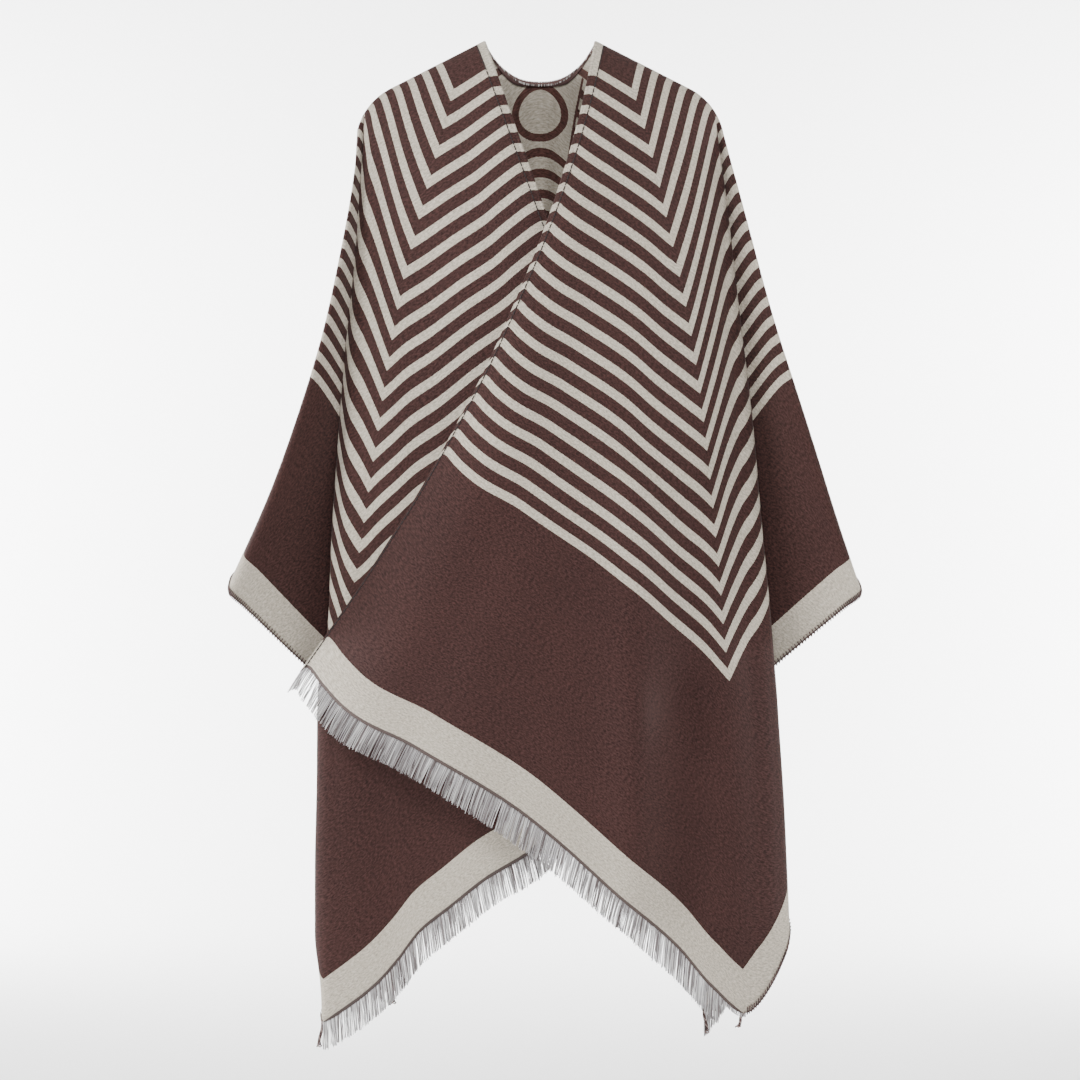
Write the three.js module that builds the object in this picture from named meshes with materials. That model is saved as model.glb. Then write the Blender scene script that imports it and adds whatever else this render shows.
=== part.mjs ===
// An open-front poncho wrap, the way it hangs from a pair of shoulders.
// The real thing is one woven rectangle with a slit from one hem up to a small scooped
// neck cut. The slit edges and the neck are turned in and stitched, and both hems end in
// a thread fringe. Here the cloth is parted at the shoulder line into a left front, a
// right front and a back. The left front wraps over the right one.
//
// X points to the wearer's left, Y to the back and Z up, all in millimetres. The origin
// lies on the shoulders, midway between the two neck points.
//
// The cloth is a fan of rays. Each ray starts on the neckline or the shoulder line and
// runs to the edge of the flat rectangle. The place where it ends, counted along that
// edge, names it: 0 is the centre of the hem (or the foot of the slit), HALF_WIDTH is the
// corner, and HALF_WIDTH + HALF_LENGTH is the end of the shoulder line, at the cuff.

import * as THREE from "three";

// The flat cloth
const HALF_WIDTH = 650;
const HALF_LENGTH = 775;
const WALL = 2;
const SEAM_GAP = 0.3;

// The neck opening, flat and as worn, and the path of the shoulder line
const NECK_FLAT = { halfWidth: 27, depth: 85 };
const NECK_WORN = { halfWidth: 60, depth: 76, drop: 33 };
const NECK_SPAN = 115;
const SHOULDER_LENGTH = 170;
const SHOULDER_STRAIGHT = 112;
const SHOULDER_SLOPE = THREE.MathUtils.degToRad(27);
const SLEEVE_SLOPE = THREE.MathUtils.degToRad(76);

// How far along a ray the cloth takes to turn from the shoulder's top to its face. Round
// the neck it shrinks to this share of itself, because the cloth hangs straight from there.
const SHOULDER_EASE = 0.016;
const NECK_EASE_SHARE = 0.01;

// Turned hems and fringe
const SLIT_HEM = { width: 9, thickness: 1.5 };
const NECK_HEM = { width: 7, thickness: 1.5 };
const FRINGE = { gap: 1.2, pitch: 13, root: 5, strip: 3, length: 29, uneven: 3, tail: 46 };

// Grid steps
const CELL = 36;
const RAY_STEPS = 12;
const RAY_CROWDING = 1.6;

// Each row is a ray on a crest, valley or edge of the folds.
// edge: where the ray ends along the flat edge; start: where it starts along the shoulder
// line, or along the neckline when negative; x, y, z: its end as worn; bow: sideways bulge
// at its middle; slide: how much its middle hangs low; press: how soon it reaches its
// depth; flute and curl: depth that it gains evenly, or mostly near its end.
const COLUMNS = ["edge", "start", "x", "y", "z", "bow", "slide", "press", "flute", "curl"];

const LEFT_FRONT = [
  [0, 0, -250, -166, -670, 50, 0.2, 3.4, 0, 90],
  [20, 4, -241, -170, -667, 49, 0.2, 3.4, 0, 88],
  [38, 8, -226, -176, -684, 48, 0.2, 3.4, 0, 76],
  [62, 13, -208, -180, -702, 48, 0.2, 3.4, 0, 62],
  [165, 38, -127, -168, -746, 39, 0.19, 3.4, 0, 18],
  [300, 72, -20, -158, -811, 32, 0.195, 3.4, 0, 0],
  [368, 88, 24, -156, -847, 30, 0.205, 3.2, 0, 0],
  [440, 104, 73, -150, -892, 30, 0.2, 3, 0, 0],
  [540, 124, 142, -142, -952, 22, 0.175, 2.6, 0, 0],
  [600, 134, 177, -136, -993, 18, 0.17, 2.3, 0, 0],
  [650, 141, 211, -126, -1019, 14, 0.19, 2.1, 0, 0],
  [704, 145, 245, -112, -979, 11, 0.21, 2, 0, 0],
  [750, 147, 258, -95, -936, 9, 0.22, 1.9, 0, 0],
  [778, 148, 250, -78, -908, 7, 0.22, 1.8, 0, 0],
  [940, 151, 160, -60, -772, 0, 0.2, 1.6, 0, 0],
  [970, 152, 147, -50, -752, 0, 0.2, 1.5, 0, 0],
  [1000, 153, 162, -44, -738, 0, 0.2, 1.5, 0, 0],
  [1100, 157, 247, -58, -664, -4, 0.15, 2, 0, 0],
  [1190, 162, 316, -104, -602, -8, 0.1, 2.1, 0, 0],
  [1225, 164, 330, -112, -590, -8, 0.1, 2.1, 0, 0],
  [1260, 165, 331, -92, -580, -8, 0.1, 2.1, 0, 0],
  [1325, 167, 322, -52, -564, -8, 0.1, 2.1, 0, 0],
  [1425, 170, 327, 0, -556, -8, 0.1, 2.1, 0, 0],
];

const RIGHT_FRONT = [
  [0, 0, -180, -130, -684, 3, 0.12, 3.4, 0, 35],
  [60, 10, -150, -134, -700, 3, 0.12, 3.4, 0, 26],
  [130, 27, -105, -134, -730, 3, 0.14, 3.4, 0, 16],
  [200, 44, -62, -132, -765, -2, 0.14, 3.4, 0, 6],
  [280, 64, -28, -130, -805, 11, 0.16, 3.4, 0, 0],
  [360, 82, 8, -128, -853, 26, 0.185, 3.2, 0, 0],
  [420, 96, 57, -126, -884, 28, 0.2, 3, 0, 0],
  [467, 106, 92, -124, -912, 26, 0.21, 2.9, 0, 0],
  [511, 115, 125, -122, -939, 24, 0.215, 2.6, 0, 0],
  [547, 121, 146, -118, -967, 26, 0.215, 2.5, 0, 0],
  [583, 128, 169, -115, -993, 30, 0.215, 2.3, 0, 0],
  [612, 134, 192, -112, -1012, 25, 0.21, 2.1, 0, 0],
  [650, 144, 225, -104, -1031, 13, 0.205, 2, 0, 0],
  [680, 147, 217, -84, -1004, 8, 0.2, 1.9, 0, 0],
  [940, 151, 160, -60, -772, 0, 0.2, 1.6, 0, 0],
  [970, 152, 147, -50, -752, 0, 0.2, 1.5, 0, 0],
  [1000, 153, 162, -44, -738, 0, 0.2, 1.5, 0, 0],
  [1100, 157, 244, -58, -666, -16, 0.15, 2, 0, 0],
  [1190, 162, 306, -104, -602, -24, 0.1, 2.1, 0, 0],
  [1225, 164, 320, -112, -588, -26, 0.1, 2.1, 0, 0],
  [1260, 165, 322, -92, -578, -26, 0.1, 2.1, 0, 0],
  [1325, 167, 314, -52, -564, -26, 0.1, 2.1, 0, 0],
  [1425, 170, 319, 0, -556, -26, 0.1, 2.1, 0, 0],
];

const LEFT_BACK = [
  [0, -115, 0, 128, -718, 0, 0.05, 3, 20, 0],
  [75, -80, 28, 118, -735, 0, 0.05, 3, -20, 0],
  [160, -40, 72, 130, -775, 0, 0.05, 3, 22, 0],
  [245, 0, 98, 118, -815, 0, 0.05, 3, -26, 0],
  [335, 35, 142, 122, -862, 0, 0.08, 3, 26, 0],
  [420, 62, 162, 120, -905, 0, 0.1, 2.8, -16, 0],
  [510, 90, 205, 120, -955, 0, 0.12, 2.6, 18, 0],
  [585, 112, 212, 108, -1004, 0, 0.15, 2.3, -8, 0],
  [650, 128, 180, 84, -1050, 0, 0.2, 2.1, 0, 0],
  [750, 142, 222, 104, -968, 0, 0.2, 1.9, 0, 0],
  [790, 146, 228, 92, -926, 0, 0.2, 1.8, 0, 0],
  [940, 150, 160, 68, -772, 0, 0.2, 1.6, 0, 0],
  [970, 151, 148, 56, -752, 0, 0.2, 1.5, 0, 0],
  [1000, 153, 164, 50, -738, 0, 0.2, 1.5, 0, 0],
  [1100, 157, 247, 62, -664, -4, 0.15, 2, 0, 0],
  [1190, 162, 316, 106, -602, -8, 0.1, 2.1, 0, 0],
  [1225, 164, 329, 114, -588, -8, 0.1, 2.1, 0, 0],
  [1260, 165, 330, 92, -580, -8, 0.1, 2.1, 0, 0],
  [1325, 167, 322, 52, -564, -8, 0.1, 2.1, 0, 0],
  [1425, 170, 327, 0, -556, -8, 0.1, 2.1, 0, 0],
];

const RIGHT_BACK = [
  [0, -115, 0, 128, -718, 0, 0.05, 3, 20, 0],
  [75, -80, 30, 122, -738, 0, 0.05, 3, -16, 0],
  [160, -40, 66, 126, -770, 0, 0.05, 3, 24, 0],
  [245, 0, 104, 120, -820, 0, 0.05, 3, -24, 0],
  [335, 35, 136, 118, -858, 0, 0.08, 3, 28, 0],
  [420, 62, 168, 122, -908, 0, 0.1, 2.8, -14, 0],
  [510, 90, 204, 119, -952, 0, 0.12, 2.6, 6, 0],
  [585, 112, 208, 106, -985, 0, 0.15, 2.3, -6, 0],
  [650, 128, 164, 80, -1015, 0, 0.2, 2.1, 0, 0],
  [750, 142, 220, 102, -942, 0, 0.2, 1.9, 0, 0],
  [790, 146, 226, 90, -908, 0, 0.2, 1.8, 0, 0],
  [940, 150, 160, 68, -772, 0, 0.2, 1.6, 0, 0],
  [970, 151, 148, 56, -752, 0, 0.2, 1.5, 0, 0],
  [1000, 153, 164, 50, -738, 0, 0.2, 1.5, 0, 0],
  [1100, 157, 244, 62, -664, -16, 0.15, 2, 0, 0],
  [1190, 162, 306, 106, -602, -24, 0.1, 2.1, 0, 0],
  [1225, 164, 319, 114, -588, -26, 0.1, 2.1, 0, 0],
  [1260, 165, 321, 92, -580, -26, 0.1, 2.1, 0, 0],
  [1325, 167, 314, 52, -564, -26, 0.1, 2.1, 0, 0],
  [1425, 170, 319, 0, -556, -26, 0.1, 2.1, 0, 0],
];

// A stretch of cloth: its fold rows, the side that it is worn on, and front or back.
// Across the shoulder line, and across the middle of the back, the cloth runs on smoothly,
// so there only the columns in `steepAtRidge` and `steepAtCentre` keep a slope.
const steepAtRidge = ["y"];
const steepAtCentre = ["x", "start"];

function stretch(rows, side, depth) {
  const steps = rows.slice(1).map((row, i) => row[0] - rows[i][0]);
  const slopes = COLUMNS.map((_, c) => rows.slice(1).map((row, i) => (row[c] - rows[i][c]) / steps[i]));
  const tangents = COLUMNS.map((name, c) =>
    rows.map((_, i) => {
      if (i === 0) return depth > 0 && !steepAtCentre.includes(name) ? 0 : slopes[c][0];
      if (i === rows.length - 1) return steepAtRidge.includes(name) ? slopes[c][i - 1] : 0;
      return (slopes[c][i - 1] * steps[i] + slopes[c][i] * steps[i - 1]) / (steps[i - 1] + steps[i]);
    }),
  );
  return { rows, side, depth, steps, tangents };
}

// The fold values of one ray, on a smooth curve through the rows
function foldAt(cloth, edge) {
  const { rows, steps, tangents } = cloth;
  let i = 0;
  while (i < rows.length - 2 && edge >= rows[i + 1][0]) i += 1;
  const t = (edge - rows[i][0]) / steps[i];
  const fold = {};
  COLUMNS.forEach((name, c) => {
    fold[name] =
      (2 * t ** 3 - 3 * t ** 2 + 1) * rows[i][c] +
      (t ** 3 - 2 * t ** 2 + t) * steps[i] * tangents[c][i] +
      (3 * t ** 2 - 2 * t ** 3) * rows[i + 1][c] +
      (t ** 3 - t ** 2) * steps[i] * tangents[c][i + 1];
  });
  return fold;
}

// Where a ray starts, as worn and on the flat cloth. The neckline is a parabola that
// drops towards the back. The shoulder line is straight and then bends down an arc.
function rayStart(start) {
  if (start < 0) {
    const a = 1 + start / NECK_SPAN;
    const { halfWidth, depth, drop } = NECK_WORN;
    return {
      worn: new THREE.Vector3(halfWidth * a, depth * (1 - a ** 2), -drop * (1 - a ** 3)),
      flatX: NECK_FLAT.halfWidth * a,
      ease: SHOULDER_EASE * Math.max(a ** 4, NECK_EASE_SHARE),
    };
  }
  const radius = (SHOULDER_LENGTH - SHOULDER_STRAIGHT) / (SLEEVE_SLOPE - SHOULDER_SLOPE);
  const straight = Math.min(start, SHOULDER_STRAIGHT);
  const slope = SHOULDER_SLOPE + (start - straight) / radius;
  return {
    worn: new THREE.Vector3(
      NECK_WORN.halfWidth + straight * Math.cos(SHOULDER_SLOPE)
        + radius * (Math.sin(slope) - Math.sin(SHOULDER_SLOPE)),
      0,
      -straight * Math.sin(SHOULDER_SLOPE) - radius * (Math.cos(SHOULDER_SLOPE) - Math.cos(slope)),
    ),
    flatX: NECK_FLAT.halfWidth + start,
    ease: SHOULDER_EASE,
  };
}

// The middle of the cloth's wall at `along` (0 at the shoulder, 1 at the edge) on a ray
function clothPoint(cloth, edge, along) {
  const fold = foldAt(cloth, edge);
  const { worn: origin, ease } = rayStart(cloth.depth < 0 ? Math.max(fold.start, 0) : fold.start);
  const hung = along + fold.slide * along * (1 - along);
  const fall = (hung - ease * (1 - Math.exp(-hung / ease))) / (1 - ease);
  const reach = 1 - (1 - along) ** fold.press;
  return new THREE.Vector3(
    cloth.side * (origin.x + (fold.x - origin.x) * fall + fold.bow * 4 * fall * (1 - fall)),
    origin.y + (fold.y - origin.y) * reach + fold.flute * along ** 1.2 + fold.curl * along ** 3
      + cloth.depth * SEAM_GAP / 2,
    origin.z + (fold.z - origin.z) * fall,
  );
}

// The outward normal of the cloth. On the shoulder line it has no part along Y, so the
// ends of a front and of the back face each other squarely.
function clothNormal(cloth, edge, along) {
  const last = HALF_WIDTH + HALF_LENGTH;
  const dEdge = 0.5;
  const dAlong = 0.002;
  const near = Math.max(along, dAlong);
  const across = clothPoint(cloth, Math.min(edge + dEdge, last), near)
    .sub(clothPoint(cloth, Math.max(edge - dEdge, 0), near));
  const down = clothPoint(cloth, edge, Math.min(along + dAlong, 1))
    .sub(clothPoint(cloth, edge, Math.max(along - dAlong, 0)));
  const normal = down.cross(across).multiplyScalar(-cloth.side * cloth.depth);
  const onShoulder = along === 0 && foldAt(cloth, edge).start >= 0;
  if (onShoulder || edge === last) normal.y = 0;
  return normal.normalize();
}

// A closed wall between two grids of points, with its faces pointing out
function wallGeometry(outer, inner) {
  const rows = outer.length;
  const columns = outer[0].length;
  const positions = [outer, inner].flat(2).flatMap((point) => point.toArray());
  const out = (i, j) => i * columns + j;
  const into = (i, j) => (rows + i) * columns + j;
  const triangles = [];
  const quad = (a, b, c, d) => triangles.push(a, b, c, a, c, d);
  for (let i = 0; i < rows - 1; i += 1) {
    for (let j = 0; j < columns - 1; j += 1) {
      quad(out(i, j), out(i + 1, j), out(i + 1, j + 1), out(i, j + 1));
      quad(into(i, j), into(i, j + 1), into(i + 1, j + 1), into(i + 1, j));
    }
    quad(out(i, 0), into(i, 0), into(i + 1, 0), out(i + 1, 0));
    quad(out(i + 1, columns - 1), into(i + 1, columns - 1), into(i, columns - 1), out(i, columns - 1));
  }
  for (let j = 0; j < columns - 1; j += 1) {
    quad(out(0, j + 1), into(0, j + 1), into(0, j), out(0, j));
    quad(out(rows - 1, j), into(rows - 1, j), into(rows - 1, j + 1), out(rows - 1, j + 1));
  }
  return closedGeometry(positions, triangles);
}

// A geometry from corners and triangles, turned so that its volume is positive
function closedGeometry(positions, triangles) {
  const corner = (n) => new THREE.Vector3().fromArray(positions, 3 * triangles[n]);
  let volume = 0;
  for (let n = 0; n < triangles.length; n += 3) {
    volume += corner(n).dot(corner(n + 1).cross(corner(n + 2)));
  }
  if (volume < 0) triangles.reverse();
  const geometry = new THREE.BufferGeometry();
  geometry.setAttribute("position", new THREE.Float32BufferAttribute(positions, 3));
  geometry.setIndex(triangles);
  geometry.computeVertexNormals();
  return geometry;
}

// Grid lines: every fold row, with the wide gaps between rows divided into cells
function edgeLines(cloth) {
  const lines = [0];
  cloth.rows.slice(1).forEach((row, i) => {
    const cells = Math.ceil(cloth.steps[i] / CELL);
    for (let n = 1; n <= cells; n += 1) lines.push(cloth.rows[i][0] + (cloth.steps[i] * n) / cells);
  });
  return lines;
}

const alongLines = Array.from({ length: RAY_STEPS + 1 }, (_, n) => (n / RAY_STEPS) ** RAY_CROWDING);

// A point `distance` outside the middle of the cloth's wall, on the flat facets between
// its grid lines, so that what lies on a panel follows the panel exactly
function facetPoint(cloth, edge, along, distance) {
  const cell = (lines, value) => {
    let n = 0;
    while (n < lines.length - 2 && value >= lines[n + 1]) n += 1;
    return [n, (value - lines[n]) / (lines[n + 1] - lines[n])];
  };
  const lines = edgeLines(cloth);
  const [i, across] = cell(lines, edge);
  const [j, down] = cell(alongLines, along);
  const corner = (di, dj) => {
    const place = [cloth, lines[i + di], alongLines[j + dj]];
    return clothPoint(...place).addScaledVector(clothNormal(...place), distance);
  };
  const near = corner(0, 0);
  const far = corner(1, 1);
  const turn = across > down ? corner(1, 0) : corner(0, 1);
  const [first, second] = across > down ? [across, down] : [down, across];
  return near.clone()
    .addScaledVector(turn.clone().sub(near), first)
    .addScaledVector(far.sub(turn), second);
}

// A wall of `thickness` whose middle lies `lift` outside the middle of the cloth.
// `sites` is a grid of places on the cloth: [cloth, edge, along].
function clothWall(sites, thickness, lift) {
  const offset = (distance) => sites.map((line) => line.map((site) => facetPoint(...site, distance)));
  return wallGeometry(offset(lift + thickness / 2), offset(lift - thickness / 2));
}

// The ray that passes `width` beside the slit, on the flat cloth, at `along`
function edgeBesideSlit(cloth, width, along) {
  const flatX = (edge) => {
    const start = rayStart(Math.max(foldAt(cloth, edge).start, 0)).flatX;
    return start + (edge - start) * along;
  };
  let low = 0;
  let high = HALF_WIDTH;
  for (let n = 0; n < 40; n += 1) {
    const middle = (low + high) / 2;
    if (flatX(middle) - flatX(0) < width) low = middle;
    else high = middle;
  }
  return low;
}

const leftFront = stretch(LEFT_FRONT, 1, -1);
const rightFront = stretch(RIGHT_FRONT, -1, -1);
const leftBack = stretch(LEFT_BACK, 1, 1);
const rightBack = stretch(RIGHT_BACK, -1, 1);

function frontPanel(cloth) {
  const sites = edgeLines(cloth).map((edge) => alongLines.map((along) => [cloth, edge, along]));
  return clothWall(sites, WALL, 0);
}

// Lines across the whole back, from the right end of the shoulder line to the left one
function backLines(limit) {
  const half = (cloth) => edgeLines(cloth).filter((edge) => edge <= limit).map((edge) => [cloth, edge]);
  return [...half(rightBack).slice(1).reverse(), ...half(leftBack)];
}

function backPanel() {
  const sites = backLines(HALF_WIDTH + HALF_LENGTH)
    .map(([cloth, edge]) => alongLines.map((along) => [cloth, edge, along]));
  return clothWall(sites, WALL, 0);
}

// Turned hems lie inside the cloth, a seam gap under it
function insideLift(hem) {
  return -(WALL / 2 + SEAM_GAP + hem.thickness / 2);
}

function slitHem(cloth) {
  const sites = alongLines.map((along) =>
    [0, 0.5, 1].map((part) => [cloth, edgeBesideSlit(cloth, SLIT_HEM.width * part, along), along]),
  );
  return clothWall(sites, SLIT_HEM.thickness, insideLift(SLIT_HEM));
}

function neckHem() {
  const neckEnd = LEFT_BACK.find((row) => row[1] === 0)[0];
  const sites = backLines(neckEnd).map(([cloth, edge]) =>
    [0, 0.5, 1].map((part) => [cloth, edge, (NECK_HEM.width * part) / HALF_LENGTH]),
  );
  return clothWall(sites, NECK_HEM.thickness, insideLift(NECK_HEM));
}

// Fringe: a narrow strip just beyond the cloth's edge, with tapered thread locks
// standing on it. `lines` are the panel's grid lines along the hem, as [cloth, edge], so
// the strip turns where the panel's edge does. The locks are evenly spaced between them.
function fringe(lines) {
  const frames = lines.map(([cloth, edge]) => {
    const tip = clothPoint(cloth, edge, 1);
    const down = tip.clone().sub(clothPoint(cloth, edge, 0.99)).normalize();
    return { place: cloth.side * edge, tip, down, normal: clothNormal(cloth, edge, 1) };
  });
  const between = (from, to, t) => ({
    tip: from.tip.clone().lerp(to.tip, t),
    down: from.down.clone().lerp(to.down, t),
    normal: from.normal.clone().lerp(to.normal, t),
  });
  const sections = [];
  frames.slice(1).forEach((to, i) => {
    const from = frames[i];
    const width = Math.abs(to.place - from.place);
    const count = Math.max(1, Math.round(width / FRINGE.pitch));
    const half = FRINGE.root / 2 / width;
    sections.push({ ...between(from, to, 0), lock: false });
    for (let n = 0; n < count; n += 1) {
      const middle = (n + 0.5) / count;
      const atCorner = HALF_WIDTH - Math.abs(from.place + (to.place - from.place) * middle) < FRINGE.pitch;
      sections.push({ ...between(from, to, middle - half), lock: true, tail: atCorner });
      sections.push({ ...between(from, to, middle + half), lock: false });
    }
  });
  sections.push(frames.at(-1));

  const positions = [];
  const triangles = [];
  const quad = (a, b, c, d) => triangles.push(a, b, c, a, c, d);
  const foot = FRINGE.gap + FRINGE.strip;
  const bands = [[FRINGE.gap, 1], [FRINGE.gap, -1], [foot, -1], [foot, 1]];
  sections.forEach(({ tip, down, normal }) => {
    bands.forEach(([reach, face]) => {
      const point = tip.clone().addScaledVector(down, reach).addScaledVector(normal, (face * WALL) / 2);
      positions.push(...point.toArray());
    });
  });
  const last = sections.length - 1;
  quad(0, 1, 2, 3);
  quad(4 * last + 3, 4 * last + 2, 4 * last + 1, 4 * last);
  sections.slice(0, last).forEach(({ tip, down, lock, tail }, s) => {
    const [near, far] = [4 * s, 4 * (s + 1)];
    quad(near + 3, far + 3, far, near);
    quad(near, far, far + 1, near + 1);
    quad(near + 1, far + 1, far + 2, near + 2);
    if (!lock) {
      quad(near + 2, far + 2, far + 3, near + 3);
      return;
    }
    const length = tail ? FRINGE.tail : FRINGE.length + FRINGE.uneven * Math.sin(2.7 * s);
    const point = tip.clone().lerp(sections[s + 1].tip, 0.5).addScaledVector(down, length);
    const end = positions.push(...point.toArray()) / 3 - 1;
    const root = [near + 2, far + 2, far + 3, near + 3];
    root.forEach((corner, n) => triangles.push(corner, root[(n + 1) % 4], end));
  });
  return closedGeometry(positions, triangles);
}

const frontHem = (cloth) => edgeLines(cloth).filter((edge) => edge <= HALF_WIDTH).map((edge) => [cloth, edge]);

function material(color, roughness) {
  return new THREE.MeshStandardMaterial({ color, roughness, metalness: 0 });
}

const wool = material(0x543838, 0.9);
const turnedWool = material(0x4a3030, 0.9);
const thread = material(0x8c898c, 0.95);

function piece(name, geometry, finish) {
  const mesh = new THREE.Mesh(geometry, finish);
  mesh.name = name;
  return mesh;
}

const wrap = new THREE.Group();
wrap.add(
  piece("left_front", frontPanel(leftFront), wool),
  piece("right_front", frontPanel(rightFront), wool),
  piece("back", backPanel(), wool),
  piece("left_slit_hem", slitHem(leftFront), turnedWool),
  piece("right_slit_hem", slitHem(rightFront), turnedWool),
  piece("neck_hem", neckHem(), turnedWool),
  piece("left_front_fringe", fringe(frontHem(leftFront)), thread),
  piece("right_front_fringe", fringe(frontHem(rightFront)), thread),
  piece("back_fringe", fringe(backLines(HALF_WIDTH)), thread),
);

export default wrap;
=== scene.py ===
# An open-front poncho wrap of reversible woven wool, as it hangs from a pair of shoulders.
# It is one rectangle with a slit up to a small scooped neck. The left front wraps over
# the right one. Cloth sizes are in millimetres and become metres in the meshes.
import math
import bpy
import numpy as np
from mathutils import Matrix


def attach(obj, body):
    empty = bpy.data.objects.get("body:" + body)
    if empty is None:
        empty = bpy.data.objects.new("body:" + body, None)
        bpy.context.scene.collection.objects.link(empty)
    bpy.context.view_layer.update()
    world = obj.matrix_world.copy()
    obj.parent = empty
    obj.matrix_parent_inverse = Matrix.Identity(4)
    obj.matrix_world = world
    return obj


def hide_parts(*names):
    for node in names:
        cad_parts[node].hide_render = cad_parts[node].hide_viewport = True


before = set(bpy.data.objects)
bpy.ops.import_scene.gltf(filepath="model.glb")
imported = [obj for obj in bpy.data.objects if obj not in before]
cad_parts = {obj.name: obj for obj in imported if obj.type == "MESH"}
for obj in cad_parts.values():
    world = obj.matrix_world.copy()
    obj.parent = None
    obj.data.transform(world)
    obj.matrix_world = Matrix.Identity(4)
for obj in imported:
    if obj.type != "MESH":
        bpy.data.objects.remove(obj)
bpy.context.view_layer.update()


# The room: a level camera in front of the wrap, a pale floor that sweeps up far behind
# it, soft lamps above, in front and at both sides, and two that light the wall.
MM = 0.001
EYE_HEIGHT = -533
EYE_DISTANCE = 3200
VIEW_WIDTH = 1155.6
SENSOR_WIDTH = 36
SWEEP_ROWS = 90
PAPER_WHITE = (0.94, 0.94, 0.94, 1)
SKY_STRENGTH = 0.5

camera_data = bpy.data.cameras.new("camera")
camera_data.sensor_width = SENSOR_WIDTH
camera_data.lens = SENSOR_WIDTH * EYE_DISTANCE / VIEW_WIDTH
camera_data.clip_end = 50
camera = bpy.data.objects.new("camera", camera_data)
camera.location = (0, -EYE_DISTANCE * MM, EYE_HEIGHT * MM)
camera.rotation_euler = (math.radians(90), 0, 0)
bpy.context.scene.collection.objects.link(camera)
bpy.context.scene.camera = camera


def mesh_object(name, points, faces, materials=(), slots=None, uv=None):
    """An object at the origin from points in millimetres, quads and triangles, with a
    material slot for each face and a flat cloth coordinate, in metres, for each point."""
    mesh = bpy.data.meshes.new(name)
    mesh.from_pydata((np.asarray(points) * MM).tolist(), [], faces)
    mesh.polygons.foreach_set("use_smooth", np.ones(len(mesh.polygons), bool))
    for material in materials:
        mesh.materials.append(material)
    if slots is not None:
        mesh.polygons.foreach_set("material_index", np.asarray(slots, np.int32))
    if uv is not None:
        corners = np.empty(len(mesh.loops), np.int32)
        mesh.loops.foreach_get("vertex_index", corners)
        layer = mesh.uv_layers.new(name="flat")
        layer.data.foreach_set("uv", (np.asarray(uv)[corners] * MM).astype(np.float32).ravel())
    mesh.update()
    thing = bpy.data.objects.new(name, mesh)
    bpy.context.scene.collection.objects.link(thing)
    return thing


def floor_sweep(across, run):
    """A sheet that lies level, turns up through a quarter circle and stands: `across` is
    its place from side to side and `run` the distance along its section."""
    level, radius, floor, front = 8200, 1500, -1450, -4200
    turn = np.clip((run - level) / radius, 0, math.pi / 2)
    rise = np.maximum(run - level - radius * math.pi / 2, 0)
    y = front + np.minimum(run, level) + radius * np.sin(turn)
    z = floor + radius * (1 - np.cos(turn)) + rise
    return np.stack([across, y, z], -1)


across, run = np.meshgrid(np.linspace(-8000, 8000, 3), np.linspace(0, 15000, SWEEP_ROWS), indexing="ij")
sweep_points = floor_sweep(across, run)
sweep_faces = []
for first in (0, SWEEP_ROWS):
    for near in range(first, first + SWEEP_ROWS - 1):
        sweep_faces.append((near, near + SWEEP_ROWS, near + SWEEP_ROWS + 1, near + 1))
paper = bpy.data.materials.new("pale_paper")
paper.use_nodes = True
paper_shader = paper.node_tree.nodes["Principled BSDF"]
paper_shader.inputs["Base Color"].default_value = PAPER_WHITE
paper_shader.inputs["Roughness"].default_value = 0.9
sweep = mesh_object("floor_sweep", sweep_points.reshape(-1, 3), sweep_faces, [paper])

LAMPS = [
    # name, place and aim in metres, size in metres, watts
    ("front_left_lamp", (-4.4, -2.1, 0.8), (0, 0, -0.5), 1.4, 310),
    ("front_right_lamp", (2.8, -1.9, 0.8), (0, 0, -0.5), 1.4, 60),
    ("top_lamp", (0.1, -2.6, 1.3), (0, 0, -0.2), 1.2, 110),
    ("left_side_lamp", (-2.9, 0.5, -0.2), (0, 0, -0.5), 1.0, 130),
    ("right_side_lamp", (2.9, 0.5, -0.2), (0, 0, -0.5), 1.0, 75),
    ("left_wall_lamp", (-2.6, 3.7, 0.0), (-0.6, 5.5, -0.8), 1.4, 385),
    ("right_wall_lamp", (2.6, 3.7, 0.0), (0.5, 5.5, -0.8), 1.4, 385),
]
for name, place, aim, size, power in LAMPS:
    lamp_data = bpy.data.lights.new(name, "AREA")
    lamp_data.size = size
    lamp_data.energy = power
    lamp = bpy.data.objects.new(name, lamp_data)
    lamp.location = place
    beam = np.array(aim) - np.array(place)
    tilt = math.atan2(math.hypot(beam[0], beam[1]), -beam[2])
    lamp.rotation_euler = (tilt, 0, math.atan2(-beam[0], beam[1]))
    bpy.context.scene.collection.objects.link(lamp)
sky = bpy.data.worlds.new("studio")
sky.use_nodes = True
sky.node_tree.nodes["Background"].inputs["Color"].default_value = (1, 1, 1, 1)
sky.node_tree.nodes["Background"].inputs["Strength"].default_value = SKY_STRENGTH
bpy.context.scene.world = sky


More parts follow.
